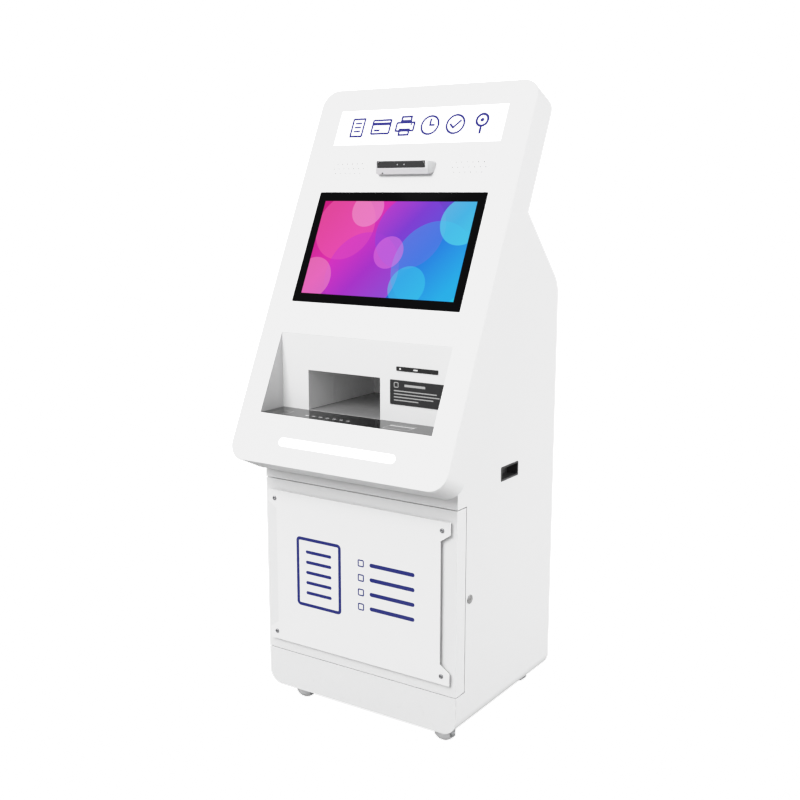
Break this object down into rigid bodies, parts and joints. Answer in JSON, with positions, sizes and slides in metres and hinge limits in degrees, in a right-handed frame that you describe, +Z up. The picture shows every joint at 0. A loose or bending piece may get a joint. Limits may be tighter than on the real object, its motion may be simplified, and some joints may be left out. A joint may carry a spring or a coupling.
{
  "type": "self-service kiosk",
  "caption": "Floor-standing self-service kiosk: white steel cabinet on casters with a leaning head, touch screen, lit sign, camera, paper outlet recess and front service door.",
  "frame": {"origin": "on the floor, under the middle of the kiosk's bounding box", "axes": "+X to the right as seen by a user at the screen, +Y to the rear, +Z up"},
  "size_m": [0.674, 0.646, 1.7018],
  "materials": {
    "white_steel": "white powder coat on sheet steel, satin",
    "tray_glass": "black back-painted glass, polished",
    "inner_plastic": "dark moulded plastic",
    "chute_steel": "dark grey paint on sheet steel",
    "notice_grey": "dark grey sheet plastic, satin",
    "strip_black": "black acrylic strip",
    "screen_glass": "glossy touch glass with a black border",
    "zinc_steel": "zinc-plated steel",
    "sign_lit": "white opal acrylic, lit from behind",
    "bar_lit": "white opal acrylic, lit from behind",
    "light_board": "circuit board",
    "camera_white": "white moulded plastic",
    "camera_black": "black acrylic and lens glass",
    "black_plastic": "black moulded plastic",
    "printer_grey": "light grey moulded plastic",
    "computer_black": "black paint on sheet steel",
    "lock_chrome": "nickel-plated lock",
    "caster_zinc": "zinc-plated pressed steel",
    "plate_white": "white powder coat on aluminium plate",
    "screw_steel": "polished stainless steel",
    "switch_red": "red moulded rocker",
    "wheel_grey": "light grey rubber tread on a plastic hub"
  },
  "bodies": {
    "cabinet": {"cabinet_wrap": "white_steel", "kick_panel": "white_steel", "header_panel": "white_steel", "rear_panel": "white_steel", "head_fascia": "white_steel", "head_back": "white_steel", "recess_liner": "white_steel", "tray_glass": "tray_glass", "card_reader": "inner_plastic", "speakers": "inner_plastic", "outlet_chute": "chute_steel", "notice_plate": "notice_grey", "status_strip": "strip_black", "touch_glass": "screen_glass", "lcd_module": "zinc_steel", "screen_rails": "zinc_steel", "sign_box": "zinc_steel", "shelf_rails": "zinc_steel", "printer_shelf": "zinc_steel", "power_supply": "zinc_steel", "hinge_brackets": "zinc_steel", "hinge_pins": "zinc_steel", "sign_panel": "sign_lit", "light_bar": "bar_lit", "sign_board": "light_board", "light_bar_board": "light_board", "camera_board": "light_board", "camera_hood": "camera_white", "camera_window": "camera_black", "camera_lenses": "camera_black", "left_grip": "black_plastic", "right_grip": "black_plastic", "mains_inlet": "black_plastic", "fan_frame": "black_plastic", "printer": "printer_grey", "computer": "computer_black", "side_lock_body": "lock_chrome", "caster_plates": "caster_zinc", "caster_bolts": "caster_zinc"},
    "front_door": {"front_door": "white_steel", "poster_plate": "plate_white", "door_catch": "zinc_steel", "plate_spacers": "zinc_steel", "plate_screws": "screw_steel"},
    "side_lock": {"side_lock_plug": "lock_chrome", "side_lock_cam": "zinc_steel"},
    "rear_door": {"rear_door": "white_steel", "rear_lock_body": "lock_chrome"},
    "rear_lock": {"rear_lock_plug": "lock_chrome", "rear_lock_cam": "zinc_steel"},
    "mains_rocker": {"mains_switch": "switch_red"},
    "fan": {"fan_rotor": "black_plastic"},
    "swivel_front_left": {"fork_front_left": "caster_zinc"},
    "roller_front_left": {"wheel_front_left": "wheel_grey"},
    "swivel_front_right": {"fork_front_right": "caster_zinc"},
    "roller_front_right": {"wheel_front_right": "wheel_grey"},
    "swivel_rear_left": {"fork_rear_left": "caster_zinc"},
    "roller_rear_left": {"wheel_rear_left": "wheel_grey"},
    "swivel_rear_right": {"fork_rear_right": "caster_zinc"},
    "roller_rear_right": {"wheel_rear_right": "wheel_grey"}
  },
  "joints": [
    {"name": "front_door_hinge", "type": "hinge", "parent": "cabinet", "child": "front_door", "pos_m": [-0.3, -0.168, 0.40775], "axis": [0, 0, -1], "range_deg": [0, 100]},
    {"name": "side_lock_turn", "type": "hinge", "parent": "cabinet", "child": "side_lock", "pos_m": [0.306, -0.1402, 0.40775], "axis": [1, 0, 0], "range_deg": [0, 90]},
    {"name": "rear_door_hinge", "type": "hinge", "parent": "cabinet", "child": "rear_door", "pos_m": [0.234, 0.313, 0.634], "axis": [0, 0, -1], "range_deg": [0, 100]},
    {"name": "rear_lock_turn", "type": "hinge", "parent": "rear_door", "child": "rear_lock", "pos_m": [-0.214, 0.319, 0.634], "axis": [0, 1, 0], "range_deg": [0, 90]},
    {"name": "mains_switch_rock", "type": "hinge", "parent": "cabinet", "child": "mains_rocker", "pos_m": [-0.165, 0.315, 0.134], "axis": [1, 0, 0], "range_deg": [0, 16]},
    {"name": "fan_spin", "type": "hinge", "parent": "cabinet", "child": "fan", "pos_m": [0, 0.19363, 1.30305], "axis": [0, 0.7193, 0.6947], "continuous": true},
    {"name": "swivel_turn_front_left", "type": "hinge", "parent": "cabinet", "child": "swivel_front_left", "pos_m": [-0.233, -0.155, 0.048], "axis": [0, 0, 1], "continuous": true},
    {"name": "wheel_roll_front_left", "type": "hinge", "parent": "swivel_front_left", "child": "roller_front_left", "pos_m": [-0.233, -0.137, 0.022], "axis": [1, 0, 0], "continuous": true},
    {"name": "swivel_turn_front_right", "type": "hinge", "parent": "cabinet", "child": "swivel_front_right", "pos_m": [0.233, -0.155, 0.048], "axis": [0, 0, 1], "continuous": true},
    {"name": "wheel_roll_front_right", "type": "hinge", "parent": "swivel_front_right", "child": "roller_front_right", "pos_m": [0.233, -0.137, 0.022], "axis": [1, 0, 0], "continuous": true},
    {"name": "swivel_turn_rear_left", "type": "hinge", "parent": "cabinet", "child": "swivel_rear_left", "pos_m": [-0.221, 0.273, 0.048], "axis": [0, 0, 1], "continuous": true},
    {"name": "wheel_roll_rear_left", "type": "hinge", "parent": "swivel_rear_left", "child": "roller_rear_left", "pos_m": [-0.221, 0.291, 0.022], "axis": [1, 0, 0], "continuous": true},
    {"name": "swivel_turn_rear_right", "type": "hinge", "parent": "cabinet", "child": "swivel_rear_right", "pos_m": [0.221, 0.273, 0.048], "axis": [0, 0, 1], "continuous": true},
    {"name": "wheel_roll_rear_right", "type": "hinge", "parent": "swivel_rear_right", "child": "roller_rear_right", "pos_m": [0.221, 0.291, 0.022], "axis": [1, 0, 0], "continuous": true}
  ]
}
